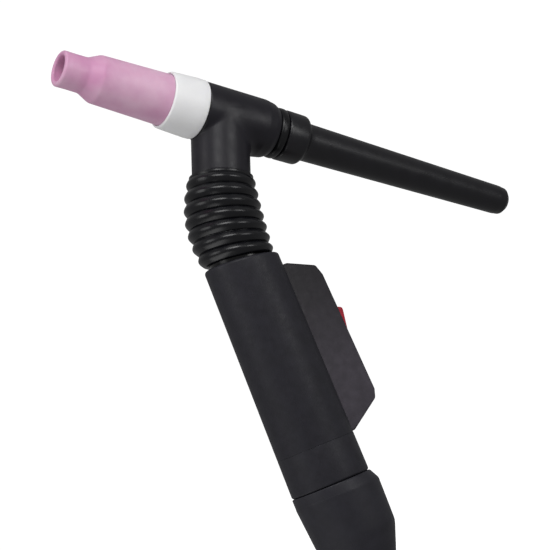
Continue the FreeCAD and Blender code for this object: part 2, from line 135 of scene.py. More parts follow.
def apply_modifiers(piece):
    """Give a piece the mesh that its modifiers make, and clear them."""
    bpy.context.view_layer.update()
    ready = piece.evaluated_get(bpy.context.evaluated_depsgraph_get())
    mesh = bpy.data.meshes.new_from_object(ready)
    piece.modifiers.clear()
    piece.data = mesh


def dress(piece, material, body, slot, stands_for=(), smooth_angle=SMOOTH_ANGLE):
    """Smooth a piece, give it its material and tie it to the frame."""
    piece.data.shade_smooth()
    piece.data.set_sharp_from_angle(angle=math.radians(smooth_angle))
    piece.data.materials.clear()
    piece.data.materials.append(material)
    if body:
        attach(piece, body)
    if stands_for:
        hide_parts(*stands_for)
    return piece


def turned_piece(name, verts, profile_count, *look, smooth_angle=SMOOTH_ANGLE):
    """Closed ring of profiles, each joined to the next by quads, dressed as the look says."""
    faces = []
    for i in range(SEGMENTS):
        j = (i + 1) % SEGMENTS
        for k in range(profile_count):
            m = (k + 1) % profile_count
            here, there = i * profile_count, j * profile_count
            faces.append((here + k, there + k, there + m, here + m))
    mesh = bpy.data.meshes.new(name)
    mesh.from_pydata([tuple(v) for v in verts], [], faces)
    mesh.validate()
    bm = bmesh.new()
    bm.from_mesh(mesh)
    bmesh.ops.remove_doubles(bm, verts=bm.verts, dist=MERGE_DISTANCE)
    bmesh.ops.recalc_face_normals(bm, faces=bm.faces)
    bm.to_mesh(mesh)
    bm.free()
    return dress(add_object(name, mesh), *look, smooth_angle=smooth_angle)


def lathe(name, profile, origin, direction, *look):
    """Closed profile of (radius, station) points in millimetres turned about an axis."""
    verts = []
    for i in range(SEGMENTS):
        out = outward(direction, i, SEGMENTS)
        for r, t in profile:
            verts.append(origin + direction * (t * MM) + out * (r * MM))
    return turned_piece(name, verts, len(profile), *look)


def slab(name, corners, half_width, bevel, *look, cutter=None):
    """Outline of (x, z) points in millimetres given a width along Y, with bevelled rims."""
    bm = bmesh.new()
    ring = [bm.verts.new((x * MM, -half_width * MM, z * MM)) for x, z in corners]
    face = bm.faces.new(ring)
    grown = bmesh.ops.extrude_face_region(bm, geom=[face])
    moved = [g for g in grown["geom"] if isinstance(g, bmesh.types.BMVert)]
    bmesh.ops.translate(bm, verts=moved, vec=(0, 2 * half_width * MM, 0))
    bmesh.ops.recalc_face_normals(bm, faces=bm.faces)
    rims = [e for e in bm.edges if abs(e.verts[0].co.y - e.verts[1].co.y) < MERGE_DISTANCE]
    bmesh.ops.bevel(
        bm,
        geom=rims,
        offset=bevel * MM,
        segments=4,
        profile=0.5,
        affect="EDGES",
        clamp_overlap=True,
    )
    piece = add_object(name, mesh_from(name, bm))
    if cutter:
        cut_away(piece, cutter)
    return dress(piece, *look)


def cut_away(piece, cutter):
    """Boolean difference, applied."""
    step = piece.modifiers.new("cut", "BOOLEAN")
    step.operation = "DIFFERENCE"
    step.solver = "EXACT"
    step.object = cutter
    apply_modifiers(piece)
    bpy.data.objects.remove(cutter)


def block(x0, x1, half_width, z0, z1):
    """Plain cutter block in millimetres."""
    bm = bmesh.new()
    bmesh.ops.create_cube(bm, size=1.0)
    for v in bm.verts:
        x = x0 + (v.co.x + 0.5) * (x1 - x0)
        z = z0 + (v.co.z + 0.5) * (z1 - z0)
        v.co = Vector((x, 2 * v.co.y * half_width, z)) * MM
    return add_object("cutter", mesh_from("cutter", bm))


# ---------------------------------------------------------------- materials
class Surface:
    """A Principled material with helpers for noise, ramps and bump, in object space."""

    def __init__(self, name, color, roughness, metallic=0.0, **inputs):
        self.material = bpy.data.materials.new(name)
        self.material.use_nodes = True
        self.tree = self.material.node_tree
        self.shader = self.tree.nodes["Principled BSDF"]
        self.shader.inputs["Base Color"].default_value = (*color, 1)
        self.shader.inputs["Roughness"].default_value = roughness
        self.shader.inputs["Metallic"].default_value = metallic
        for key, value in inputs.items():
            self.shader.inputs[key.replace("_", " ")].default_value = value
        self.place = self.tree.nodes.new("ShaderNodeTexCoord").outputs["Object"]
        self.normal = None

    def noise(self, scale, detail=4.0, rough=0.55):
        node = self.tree.nodes.new("ShaderNodeTexNoise")
        node.inputs["Scale"].default_value = scale
        node.inputs["Detail"].default_value = detail
        node.inputs["Roughness"].default_value = rough
        self.tree.links.new(self.place, node.inputs["Vector"])
        return node.outputs["Fac"]

    def color_from(self, value, low, high, low_color, high_color):
        """Base colour that runs from one colour at the low value to another at the high one."""
        node = self.tree.nodes.new("ShaderNodeValToRGB")
        node.color_ramp.elements[0].position = low
        node.color_ramp.elements[1].position = high
        node.color_ramp.elements[0].color = (*low_color, 1)
        node.color_ramp.elements[1].color = (*high_color, 1)
        self.tree.links.new(value, node.inputs["Fac"])
        self.tree.links.new(node.outputs["Color"], self.shader.inputs["Base Color"])

    def paint_light_and_shade_by_height(self, heights, first_share, second_share):
        """Painted light and shade: multiply the base colour by one share at the first height and
        another at the second.
        """
        split = self.tree.nodes.new("ShaderNodeSeparateXYZ")
        span = self.tree.nodes.new("ShaderNodeMapRange")
        span.interpolation_type = "SMOOTHSTEP"
        span.inputs["From Min"].default_value = heights[0]
        span.inputs["From Max"].default_value = heights[1]
        span.inputs["To Min"].default_value = first_share
        span.inputs["To Max"].default_value = second_share
        blend = self.tree.nodes.new("ShaderNodeVectorMath")
        blend.operation = "SCALE"
        base = self.shader.inputs["Base Color"].links[0].from_socket
        self.tree.links.new(self.place, split.inputs["Vector"])
        self.tree.links.new(split.outputs["Z"], span.inputs["Value"])
        self.tree.links.new(base, blend.inputs["Vector"])
        self.tree.links.new(span.outputs["Result"], blend.inputs["Scale"])
        self.tree.links.new(blend.outputs["Vector"], self.shader.inputs["Base Color"])

    def roughness_from(self, value, low, high):
        """Roughness between two values, over the middle of a noise's range."""
        node = self.tree.nodes.new("ShaderNodeMapRange")
        node.inputs["From Min"].default_value = 0.3
        node.inputs["From Max"].default_value = 0.7
        node.inputs["To Min"].default_value = low
        node.inputs["To Max"].default_value = high
        self.tree.links.new(value, node.inputs["Value"])
        self.tree.links.new(node.outputs["Result"], self.shader.inputs["Roughness"])

    def bump(self, value, strength, depth):
        """Bump on top of the bumps so far, with its depth in metres."""
        node = self.tree.nodes.new("ShaderNodeBump")
        node.inputs["Strength"].default_value = strength
        node.inputs["Distance"].default_value = depth
        self.tree.links.new(value, node.inputs["Height"])
        if self.normal:
            self.tree.links.new(self.normal, node.inputs["Normal"])
        self.normal = node.outputs["Normal"]
        self.tree.links.new(self.normal, self.shader.inputs["Normal"])


def scaled(color, share):
    return tuple(c * share for c in color)


def grained_plastic(name, tone, roughness, gloss=0.5, painted_light_heights=None):
    """Spark-eroded plastic: fine grain, and optionally painted shade at one height and painted light
    at another.
    """
    s = Surface(name, tone, roughness, Specular_IOR_Level=gloss)
    s.color_from(s.noise(260, detail=5.0), 0.35, 0.68, scaled(tone, 0.86), scaled(tone, 1.2))
    if painted_light_heights:
        # painted shade darkens the base colour at the first height, painted light brightens it at the
        # second
        s.paint_light_and_shade_by_height(painted_light_heights, first_share=0.40, second_share=1.65)
    s.roughness_from(s.noise(420, detail=3.0), roughness - 0.07, roughness + 0.08)
    s.bump(s.noise(2600, detail=2.0), strength=0.35, depth=0.00006)
    s.bump(s.noise(90, detail=2.0), strength=0.05, depth=0.0003)
    return s.material


def moulded_rubber(name, tone, roughness, gloss=0.5, grain=0.2):
    """Smooth black rubber with a slight bloom and moulding flow."""
    s = Surface(name, tone, roughness, Specular_IOR_Level=gloss)
    s.color_from(s.noise(180, detail=5.0, rough=0.6), 0.38, 0.72, tone, scaled(tone, 1.35))
    s.roughness_from(s.noise(300), roughness - 0.06, roughness + 0.09)
    s.bump(s.noise(1800, detail=2.0), strength=grain, depth=0.00004)
    s.bump(s.noise(110, detail=2.0), strength=0.06, depth=0.0003)
    return s.material


def fired_alumina():
    """Pink fired ceramic: chalky, slightly mottled, with fine pores."""
    s = Surface("pink_alumina", (0.70, 0.36, 0.55), 0.62)
    s.shader.inputs["Subsurface Weight"].default_value = 0.12
    s.shader.inputs["Subsurface Radius"].default_value = (0.0012, 0.0006, 0.0008)
    mottle = s.noise(75, detail=5.0, rough=0.5)
    s.color_from(mottle, 0.32, 0.70, (0.66, 0.31, 0.51), (0.80, 0.51, 0.67))
    s.roughness_from(s.noise(700, detail=3.0), 0.38, 0.54)
    s.bump(s.noise(3200, detail=3.0), strength=0.30, depth=0.00005)
    s.bump(s.noise(240, detail=3.0, rough=0.5), strength=0.10, depth=0.0003)
    return s.material


def waxy_ptfe():
    """Turned white fluoropolymer: waxy, with very faint tool marks."""
    s = Surface("white_ptfe", (0.92, 0.92, 0.93), 0.45)
    s.shader.inputs["Subsurface Weight"].default_value = 0.35
    s.shader.inputs["Subsurface Radius"].default_value = (0.003, 0.003, 0.0028)
    s.color_from(s.noise(120), 0.3, 0.75, (0.90, 0.90, 0.915), (0.95, 0.95, 0.96))
    s.roughness_from(s.noise(500, detail=3.0), 0.38, 0.52)
    s.bump(s.noise(1500, detail=2.0), strength=0.15, depth=0.00005)
    return s.material


def red_button():
    """Glossy moulded red plastic."""
    s = Surface("red_button", (0.42, 0.004, 0.022), 0.28)
    s.shader.inputs["Coat Weight"].default_value = 0.25
    s.shader.inputs["Coat Roughness"].default_value = 0.12
    s.color_from(s.noise(300, detail=3.0), 0.3, 0.75, (0.34, 0.003, 0.018), (0.50, 0.008, 0.032))
    s.roughness_from(s.noise(700, detail=3.0), 0.22, 0.36)
    s.bump(s.noise(1400, detail=2.0), strength=0.15, depth=0.00004)
    return s.material


def turned_metal(name, color, roughness):
    """Lathe-turned metal, finely grained and slightly tarnished."""
    s = Surface(name, color, roughness, metallic=1.0)
    s.color_from(s.noise(220, detail=5.0), 0.35, 0.7, scaled(color, 0.72), color)
    s.roughness_from(s.noise(900, detail=3.0), roughness - 0.08, roughness + 0.1)
    s.bump(s.noise(3000, detail=2.0), strength=0.2, depth=0.00003)
    return s.material


# The switch box has painted light and shade between two heights in metres: darker with painted shade
# at the first, paler with painted light at the second.
BOX_PAINTED_LIGHT_HEIGHTS = (0.124, 0.070)
BOX_TONE = (0.0310, 0.0268, 0.0345)
PLASTIC = grained_plastic("grained_black_plastic", (0.0140, 0.0134, 0.0188), 0.52, 0.32)
PAINTED_LIGHT_BOX_PLASTIC = grained_plastic("grained_box_plastic_painted_light", BOX_TONE, 0.55, 0.34, BOX_PAINTED_LIGHT_HEIGHTS)
BOOT = moulded_rubber("boot_rubber", (0.0155, 0.0150, 0.0205), 0.5, 0.32, 0.3)
HEAD_RUBBER = moulded_rubber("head_rubber", (0.0066, 0.0058, 0.0094), 0.40, 0.36)
BELLOWS = moulded_rubber("bellows_rubber", (0.0030, 0.0031, 0.0046), 0.26, 0.40, 0.12)
CAP = moulded_rubber("cap_plastic", (0.0036, 0.0032, 0.0052), 0.33, 0.45, 0.1)
RING = moulded_rubber("ring_rubber", (0.004, 0.004, 0.005), 0.3, 0.3, 0.1)
ALUMINA = fired_alumina()
PTFE = waxy_ptfe()
RED = red_button()
BRASS = turned_metal("turned_brass", (0.72, 0.52, 0.24), 0.3)
COPPER = turned_metal("turned_copper", (0.75, 0.40, 0.26), 0.32)
STEEL = turned_metal("ground_steel", (0.55, 0.55, 0.57), 0.3)
TUNGSTEN = turned_metal("ground_tungsten", (0.38, 0.38, 0.40), 0.35)
INSULATION = grained_plastic("lead_insulation", (0.12, 0.12, 0.125), 0.5)


# ---------------------------------------------------------------- handle
# Sizes are in millimetres, and heights are measured up the handle from the cable's end of the boot.
HANDLE_BASE = Vector((0, 0, 0))
TUBE_TOP = 134.6
TUBE_TOP_RADIUS = 13.6
TUBE_BORE = 11.2
TUBE_FOOT = 61.5
RIM_HEIGHT = 132.4
RIM_MIDDLE = 128.0
RIM_TAPER_START = 120.0
RIM_TILT = math.radians(7.0)

SPIGOT_FOOT = 36.0
SPIGOT_RADIUS = 12.0
COLLAR_BORE = 9.0
TONGUE_RADIUS = 11.0
TONGUE_LENGTH = 8.0
JOINT_FILLET = 0.15

PLUG_FOOT = 120.0
PLUG_TOP = 130.0
PLUG_RADIUS = 11.15
PLUG_BORE = 4.7

BOOT_FRONT = 47.0
BOOT_FRONT_RADIUS = 14.7
BOOT_FACE = BOOT_FRONT - 0.1
BOOT_SEAT = 35.8
BOOT_SEAT_RADIUS = 12.05
BOOT_WAIST = 27.0
BOOT_INLET_TOP = 20.0
BOOT_INLET_RADIUS = 6.0
BOOT_TAIL = 9.0
BOOT_LEANS = ((0.0, 0.0), (BOOT_TAIL, 0.3), (BOOT_WAIST, 1.8), (43.4, 1.1), (BOOT_FRONT, 0.0))


def tube_radius(z):
    """Radius of the tapered handle at a height, both in millimetres."""
    share = (TUBE_TOP - z) / (TUBE_TOP - BOOT_FRONT)
    return TUBE_TOP_RADIUS + share * (BOOT_FRONT_RADIUS - TUBE_TOP_RADIUS)


def slant_rim(piece):
    """Lean the tube's mouth towards the bend, fading out further down the tube."""
    for v in piece.data.vertices:
        share = (v.co.z / MM - RIM_TAPER_START) / (RIM_HEIGHT - RIM_TAPER_START)
        v.co.z -= v.co.x * math.tan(RIM_TILT) * max(0.0, min(1.0, share))


def lean_boot(piece):
    """Swell the boot's outside towards the trigger side; the bore stays on the axis."""
    heights, leans = zip(*BOOT_LEANS)
    for v in piece.data.vertices:
        radius = math.hypot(v.co.x, v.co.y) / MM
        beyond_seat = radius > BOOT_SEAT_RADIUS + 0.01
        beyond_inlet = radius > BOOT_INLET_RADIUS + 0.5 and v.co.z < BOOT_INLET_TOP * MM
        if beyond_seat or beyond_inlet:
            v.co.x += float(np.interp(v.co.z / MM, heights, leans)) * MM


def build_handle():
    tube = outline([
        (TUBE_BORE, TUBE_FOOT, 0),
        (tube_radius(TUBE_FOOT), TUBE_FOOT, JOINT_FILLET),
        (tube_radius(RIM_TAPER_START), RIM_TAPER_START, 0),
        (tube_radius(RIM_MIDDLE), RIM_MIDDLE, 0),
        (tube_radius(RIM_HEIGHT), RIM_HEIGHT, 1.1),
        (TUBE_BORE, RIM_HEIGHT, 0.3),
        (TUBE_BORE, RIM_TAPER_START, 0),
    ])
    look = (PLASTIC, "handle", "handle_plastic")
    grip = lathe("handle_grip", tube, HANDLE_BASE, UP, *look, ["handle_tube"])
    slant_rim(grip)
    collar = outline([
        (COLLAR_BORE, SPIGOT_FOOT, 0),
        (SPIGOT_RADIUS, SPIGOT_FOOT, 0),
        (SPIGOT_RADIUS, BOOT_FRONT, 0),
        (BOOT_FRONT_RADIUS, BOOT_FRONT, 0.9),
        (tube_radius(TUBE_FOOT), TUBE_FOOT, JOINT_FILLET),
        (TONGUE_RADIUS, TUBE_FOOT, 0),
        (TONGUE_RADIUS, TUBE_FOOT + TONGUE_LENGTH, 0),
        (COLLAR_BORE, TUBE_FOOT + TONGUE_LENGTH, 0),
    ])
    lathe("handle_collar", collar, HANDLE_BASE, UP, *look, ["handle_rear_collar"])
    plug = outline([
        (PLUG_BORE, PLUG_FOOT, 0),
        (PLUG_RADIUS, PLUG_FOOT, 0),
        (PLUG_RADIUS, PLUG_TOP, 0.6),
        (PLUG_BORE, PLUG_TOP, 0.4),
    ])
    lathe("handle_mouth_plug", plug, HANDLE_BASE, UP, *look, ["handle_nose"])


def build_boot():
    boot = outline([
        (BOOT_INLET_RADIUS, 0.0, 0.4),
        (9.2, 0.0, 1.0),
        (9.8, BOOT_TAIL, 8.0),
        (15.1, BOOT_WAIST, 14.0),
        (15.9, 43.0, 3.6),
        (14.9, BOOT_FACE, 0.6),
        (BOOT_SEAT_RADIUS, BOOT_FACE, 0),
        (BOOT_SEAT_RADIUS, BOOT_SEAT, 0),
        (BOOT_INLET_RADIUS, BOOT_INLET_TOP, 0),
    ])
    look = (BOOT, "handle", "boot_rubber", ["cable_boot"])
    sleeve = lathe("cable_sleeve", boot, HANDLE_BASE, UP, *look)
    lean_boot(sleeve)


# ---------------------------------------------------------------- switch and trigger
# Sizes are in millimetres. Points are (distance out from the handle's axis, height).
BOX_HALF_WIDTH = 7.0
BOX_ROOT = 9.0
BOX_TOP = 126.2
BOX_FOOT = 61.8
FACE_TOP = (26.4, 118.0)
FACE_LOW = (28.6, 72.8)
LEVER_PIVOT = (23.3, 92.6)
LEVER_REACH = 13.4
LEVER_HALF_WIDTH = 5.5
LEVER_PROUD = 29.5
LEVER_LOW = (28.0, 95.4)
LEVER_HEEL = 1.6
LEVER_CLEARANCE = 0.05
LEVER_ARC_STEPS = 8
WINDOW_FLOOR = 21.0


def build_switch():
    side = outline([
        (BOX_ROOT, BOX_FOOT, 0),
        (14.2, BOX_FOOT, 0),
        (FACE_LOW[0] - 1.2, FACE_LOW[1] - 3.2, 2.2),
        (FACE_LOW[0], FACE_LOW[1], 2.0),
        (FACE_TOP[0], FACE_TOP[1], 3.0),
        (FACE_TOP[0] - 1.5, FACE_TOP[1] + 4.0, 1.6),
        (14.0, BOX_TOP, 0),
        (BOX_ROOT, BOX_TOP, 0),
    ])
    window_half_width = LEVER_HALF_WIDTH + 0.25
    window_foot = LEVER_LOW[1] - 0.3
    window_top = LEVER_PIVOT[1] + LEVER_REACH + 0.2
    window = block(WINDOW_FLOOR, LEVER_PROUD, window_half_width, window_foot, window_top)
    look = (PAINTED_LIGHT_BOX_PLASTIC, "handle", "switch_plastic", ["switch_box", "switch_cover"])
    slab("switch_housing", side, BOX_HALF_WIDTH, 0.9, *look, cutter=window)


def build_lever():
    """Wedge lever whose top follows an arc about its pin."""
    px, pz = LEVER_PIVOT
    reach = LEVER_REACH - LEVER_CLEARANCE
    arc = []
    for k in range(LEVER_ARC_STEPS + 1):
        x = LEVER_PROUD - 0.5 - px - k * (LEVER_PROUD - px) / LEVER_ARC_STEPS
        arc.append((px + x, pz + math.sqrt(reach ** 2 - x ** 2)))
    points = [
        (px - 0.2, pz),
        (px + LEVER_HEEL, pz),
        (px + LEVER_HEEL, LEVER_LOW[1]),
        LEVER_LOW,
        (LEVER_PROUD, pz + reach - 2.6),
        (LEVER_PROUD, arc[0][1] - 0.45),
    ] + arc
    look = (RED, "trigger", "trigger_plastic", ["trigger"])
    slab("trigger_lever", points, LEVER_HALF_WIDTH, 0.35, *look)


# ---------------------------------------------------------------- bellows
# Sizes are in millimetres, and stations are arc lengths along the bent neck's centreline.
RIDGE_COUNT = 7
RIDGE_FIRST = 1.5
RIDGE_PITCH = 4.32
RIDGE_DEPTH = 1.5
RIDGE_WIDEST_RADIUS = 14.3
WIDEST_RIDGE = 2.3
RIDGE_NARROWING = 0.13
RIDGE_FULLNESS = 2.4
FULL_SHARE = 0.55
WAVE_SHARE = 0.45
SLEEVE_TILT = math.radians(10.0)
SLEEVE_SAG = 0.75
SLEEVE_STEP = 0.12
BELLOWS_WALL = 1.3
FOOT_START = -2.2
FOOT_END = -0.7
FOOT_RADIUS = 10.5
CUFF_START = 29.0
CUFF_END = 30.1
CUFF_RADIUS = 11.35
CUFF_LIP = 0.25
CUFF_LIP_RUN = 0.5
CUFF_SLOPE = 3
LIP_START = CUFF_START + 0.4
LIP_RADIUS = 8.7
CONDUIT_START = 4.5
CONDUIT_END = ARC_LENGTH / MM - 4.8
CONDUIT_RADIUS = 4.2
CONDUIT_BORE = 2.5
CONDUIT_RIPPLE = 0.12
RIPPLE_PITCH = 0.9
CONDUIT_STEP = 0.15


def ridge_top(index):
    return RIDGE_WIDEST_RADIUS - RIDGE_NARROWING * (index - WIDEST_RIDGE) ** 2


def bellows_radius(s):
    """Outer radius at a station: full round ridges with narrow valleys, between foot and cuff."""
    if s < FOOT_END:
        return FOOT_RADIUS
    place = (s - RIDGE_FIRST) / RIDGE_PITCH
    index = min(max(round(place), 0), RIDGE_COUNT - 1)
    offset = min(1.0, abs(place - index) * 2)
    full = 1 - math.sqrt(1 - offset ** RIDGE_FULLNESS)
    wave = (1 - math.cos(math.pi * offset)) / 2
    drop = RIDGE_DEPTH * (FULL_SHARE * full + WAVE_SHARE * wave)
    if s > CUFF_START:
        past = s - CUFF_START
        rise = min(1.0, past / CUFF_LIP_RUN)
        return max(CUFF_RADIUS + CUFF_LIP * rise, ridge_top(index) - drop - CUFF_SLOPE * past)
    return max(ridge_top(index) - drop, CUFF_RADIUS)


def bellows_bore(s):
    return LIP_RADIUS if s > LIP_START else bellows_radius(s) - BELLOWS_WALL


def conduit_radius(s):
    return CONDUIT_RADIUS + CONDUIT_RIPPLE * math.sin(2 * math.pi * s / RIPPLE_PITCH)


def conduit_bore(s):
    return CONDUIT_BORE


def arc_frame(s):
    """Point and tangent on the bent neck's centreline at a station."""
    angle = s * MM / BEND_RADIUS
    x = BEND_RADIUS * (1 - math.cos(angle))
    z = ARC_START_Z + BEND_RADIUS * math.sin(angle)
    return Vector((x, 0, z)), Vector((math.sin(angle), 0, math.cos(angle)))


def sleeve_frame(s):
    """Centre and direction of the rubber sleeve, which sags outwards and leans at its foot."""
    share = s * MM / ARC_LENGTH
    point, _ = arc_frame(s)
    sag = SLEEVE_SAG * (1 - share + math.sin(math.pi * share)) * MM
    angle = SLEEVE_TILT + (BEND - SLEEVE_TILT) * min(1.0, s / CUFF_START)
    return point - Vector((sag, 0, 0)), Vector((math.sin(angle), 0, math.cos(angle)))


def bent_sleeve(name, stations, centreline, outer, inner, material, slot):
    """Sleeve along a bent centreline with a radius for each station."""
    loop = [(s, outer(s)) for s in stations] + [(s, inner(s)) for s in reversed(stations)]
    verts = []
    for i in range(SEGMENTS):
        for s, r in loop:
            point, tangent = centreline(s)
            verts.append(point + outward(tangent, i, SEGMENTS) * (r * MM))
    look = (material, None, slot)
    return turned_piece(name, verts, len(loop), *look, smooth_angle=ROUND_SMOOTH_ANGLE)


def spread(low, high, step):
    """Evenly spaced stations between two ends."""
    count = round((high - low) / step)
    return [low + (high - low) * k / count for k in range(count + 1)]


def build_neck():
    """Sleeve and conduit, each in two pieces that meet between the third and fourth ridges."""
    middle = RIDGE_FIRST + 2.5 * RIDGE_PITCH
    rubber = (sleeve_frame, bellows_radius, bellows_bore, BELLOWS, "bellows_rubber")
    lower = bent_sleeve("bellows_lower", spread(FOOT_START, middle, SLEEVE_STEP), *rubber)
    upper = bent_sleeve("bellows_upper", spread(middle, CUFF_END, SLEEVE_STEP), *rubber)
    copper = (arc_frame, conduit_radius, conduit_bore, COPPER, "copper")
    tube_low = bent_sleeve("conduit_lower", spread(CONDUIT_START, middle, CONDUIT_STEP), *copper)
    tube_high = bent_sleeve("conduit_upper", spread(middle, CONDUIT_END, CONDUIT_STEP), *copper)
    for piece in (lower, tube_low):
        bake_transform(piece)
    for piece in (upper, tube_high):
        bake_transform(piece)
    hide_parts("neck_bellows")
    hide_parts("neck_bellows")
    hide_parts("flex_conduit")
    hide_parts("flex_conduit")


# ---------------------------------------------------------------- head
# Outlines are (radius, station along the axis, fillet), in millimetres.
BARREL_RADIUS = 10.8
BARREL_FRONT = -9.0
BARREL_BACK = 15.6
HEAD_TAIL_RADIUS = 9.1
BARREL_OUTLINE = (
    (0.0, BARREL_FRONT, 0),
    (BARREL_RADIUS, BARREL_FRONT, 0.6),
    (BARREL_RADIUS, BARREL_BACK, 5.0),
    (BARREL_RADIUS - 0.6, BARREL_BACK + 3.4, 3.0),
    (HEAD_TAIL_RADIUS, HEAD_TAIL, 0.8),
    (0.0, HEAD_TAIL, 0),
)
NECK_RADIUS = 10.6
NECK_START = 14.63
NECK_OUTLINE = (
    (0.0, NECK_START, 0),
    (NECK_RADIUS, NECK_START, 0.6),
    (NECK_RADIUS, NECK_LENGTH, 0),
    (0.0, NECK_LENGTH, 0),
)
INSULATOR_ROOM = 11.5
CREASE_BLEND = 0.5
FILLET_BLEND = 3.2
FILLET_RUN = 9.0
ROUGH_SEGMENTS = 64
VOXEL = 0.33
SETTLE_ROUNDS = 6
SLOPE_STEP = 0.02
LEAST_SLOPE = 0.2
LONGEST_MOVE = 0.4
TINY = 1e-9


def profile_distance(radius, station, corners):
    """Signed distance from (radius, station) points to a closed outline.

    An outline's edges that lie on the axis aren't part of its surface.
    """
    points = np.array([tuple(p) for p in outline(corners)])
    best = np.full(radius.shape, np.inf)
    inside = np.zeros(radius.shape, bool)
    for i in range(len(points)):
        a = points[i - 1]
        b = points[i]
        edge = b - a
        if abs(a[0]) > TINY or abs(b[0]) > TINY:
            span = (radius - a[0]) * edge[0] + (station - a[1]) * edge[1]
            share = np.clip(span / max(edge @ edge, TINY), 0, 1)
            gap = np.hypot(radius - a[0] - share * edge[0], station - a[1] - share * edge[1])
            best = np.minimum(best, gap)
        crosses = (a[1] > station) != (b[1] > station)
        if edge[1] != 0:
            at = a[0] + (station - a[1]) / edge[1] * edge[0]
            inside ^= crosses & (radius < at)
    return np.where(inside, -best, best)


def axis_coordinates(points, origin, direction):
    """Radius and station of each point about an axis, in millimetres."""
    offset = points - np.array(origin) / MM
    station = offset @ np.array(direction)
    radius = np.linalg.norm(offset - station[:, None] * np.array(direction), axis=1)
    return radius, station


def head_distance(points):
    """Signed distance to the head: two round bodies joined by a fillet on the cap's side."""
    away, along = axis_coordinates(points, HEAD, CAP_DIR)
    barrel = profile_distance(away, along, BARREL_OUTLINE)
    neck = profile_distance(*axis_coordinates(points, PIVOT, NECK_DIR), NECK_OUTLINE)
    neck = np.maximum(neck, np.where(away < INSULATOR_ROOM, BARREL_FRONT - along, neck))
    share = np.clip(along / FILLET_RUN, 0, 1)
    width = CREASE_BLEND + (FILLET_BLEND - CREASE_BLEND) * share
    overlap = np.clip(width - np.abs(barrel - neck), 0, None) / width
    return np.minimum(barrel, neck) - overlap ** 2 * width * 0.25


def settle(points, distance):
    """Move points onto the zero of a distance function along its gradient."""
    for _ in range(SETTLE_ROUNDS):
        value = distance(points)
        slope = np.zeros_like(points)
        for k in range(3):
            shift = np.zeros(3)
            shift[k] = SLOPE_STEP
            slope[:, k] = (distance(points + shift) - distance(points - shift)) / (2 * SLOPE_STEP)
        size = np.clip((slope ** 2).sum(axis=1), LEAST_SLOPE, None)
        points = points - slope * (np.clip(value, -LONGEST_MOVE, LONGEST_MOVE) / size)[:, None]
    return points


def add_round_body(bm, origin, direction, corners):
    """Coarse turned body from an outline that starts and ends on its axis."""
    ring = outline(corners)
    rows = []
    for i in range(ROUGH_SEGMENTS):
        out = outward(direction, i, ROUGH_SEGMENTS)
        rows.append([bm.verts.new(origin + direction * (t * MM) + out * (r * MM)) for r, t in ring])
    for i in range(ROUGH_SEGMENTS):
        row, following = rows[i], rows[(i + 1) % ROUGH_SEGMENTS]
        for k in range(len(ring) - 1):
            bm.faces.new((row[k], following[k], following[k + 1], row[k + 1]))


def build_head():
    """Remesh a rough union of the two bodies, then settle every vertex on the exact surface."""
    rough = bmesh.new()
    add_round_body(rough, HEAD, CAP_DIR, BARREL_OUTLINE)
    add_round_body(rough, PIVOT, NECK_DIR, NECK_OUTLINE)
    bmesh.ops.remove_doubles(rough, verts=rough.verts, dist=MERGE_DISTANCE)
    bmesh.ops.recalc_face_normals(rough, faces=rough.faces)
    piece = add_object("head_moulding", mesh_from("head_moulding", rough))
    piece.data.transform(Matrix.Scale(1 / MM, 4))
    step = piece.modifiers.new("remesh", "REMESH")
    step.mode = "VOXEL"
    step.voxel_size = VOXEL
    apply_modifiers(piece)
    fine = piece.data
    points = np.empty(len(fine.vertices) * 3)
    fine.vertices.foreach_get("co", points)
    points = settle(points.reshape(-1, 3), head_distance) * MM
    fine.vertices.foreach_set("co", points.ravel())
    fine.update()
    dress(piece, HEAD_RUBBER, "head", "head_rubber", ["head_shell"], ROUND_SMOOTH_ANGLE)


# ---------------------------------------------------------------- front end
# Outlines are (radius, station along the barrel's axis, fillet), in millimetres.
INSULATOR_BORE = 7.0
INSULATOR_STEP = -17.2
INSULATOR_FRONT = -23.0
INSULATOR_REAR = -9.08
CUP_REAR = -17.5
CUP_MOUTH = -64.5
CUP_BORE = 4.8
CUP_THREAD_RADIUS = 7.0
CUP_BASE_RADIUS = 9.5


def build_front():
    insulator = outline([
        (INSULATOR_BORE, INSULATOR_STEP, 0),
        (9.65, INSULATOR_STEP, 0),
        (9.65, INSULATOR_FRONT, 0.25),
        (10.5, INSULATOR_FRONT, 0.8),
        (10.75, -19.0, 4.0),
        (11.1, -11.5, 4.0),
        (11.0, INSULATOR_REAR, 0.7),
        (INSULATOR_BORE, INSULATOR_REAR, 0),
    ])
    look = (PTFE, "cup_seat", "ptfe", ["nozzle_insulator"])
    lathe("white_insulator", insulator, HEAD, CAP_DIR, *look)
    cup = outline([
        (CUP_THREAD_RADIUS, CUP_REAR, 0),
        (CUP_BASE_RADIUS, CUP_REAR, 0),
        (CUP_BASE_RADIUS, -23.0, 6.0),
        (8.85, -50.0, 4.2),
        (6.6, -54.8, 3.6),
        (6.55, -60.0, 4.0),
        (6.65, CUP_MOUTH, 1.0),
        (CUP_BORE, CUP_MOUTH, 0.8),
        (CUP_BORE, -55.3, 2.0),
        (6.5, -48.0, 2.0),
        (CUP_THREAD_RADIUS, -31.0, 0),
    ])
    look = (ALUMINA, "cup", "alumina", ["nozzle"])
    lathe("ceramic_nozzle", cup, HEAD, CAP_DIR, *look)


# ---------------------------------------------------------------- back cap
CAP_FRONT = 24.6
CAP_TIP = 123.15
CAP_SOCKET_RADIUS = 6.2
CAP_SOCKET_END = 33.0
ELECTRODE_ROOM = 2.3
ELECTRODE_ROOM_END = 119.6
SEAL_FRONT = 21.08
SEAL_BACK = 24.54
SEAL_RADIUS = 9.4


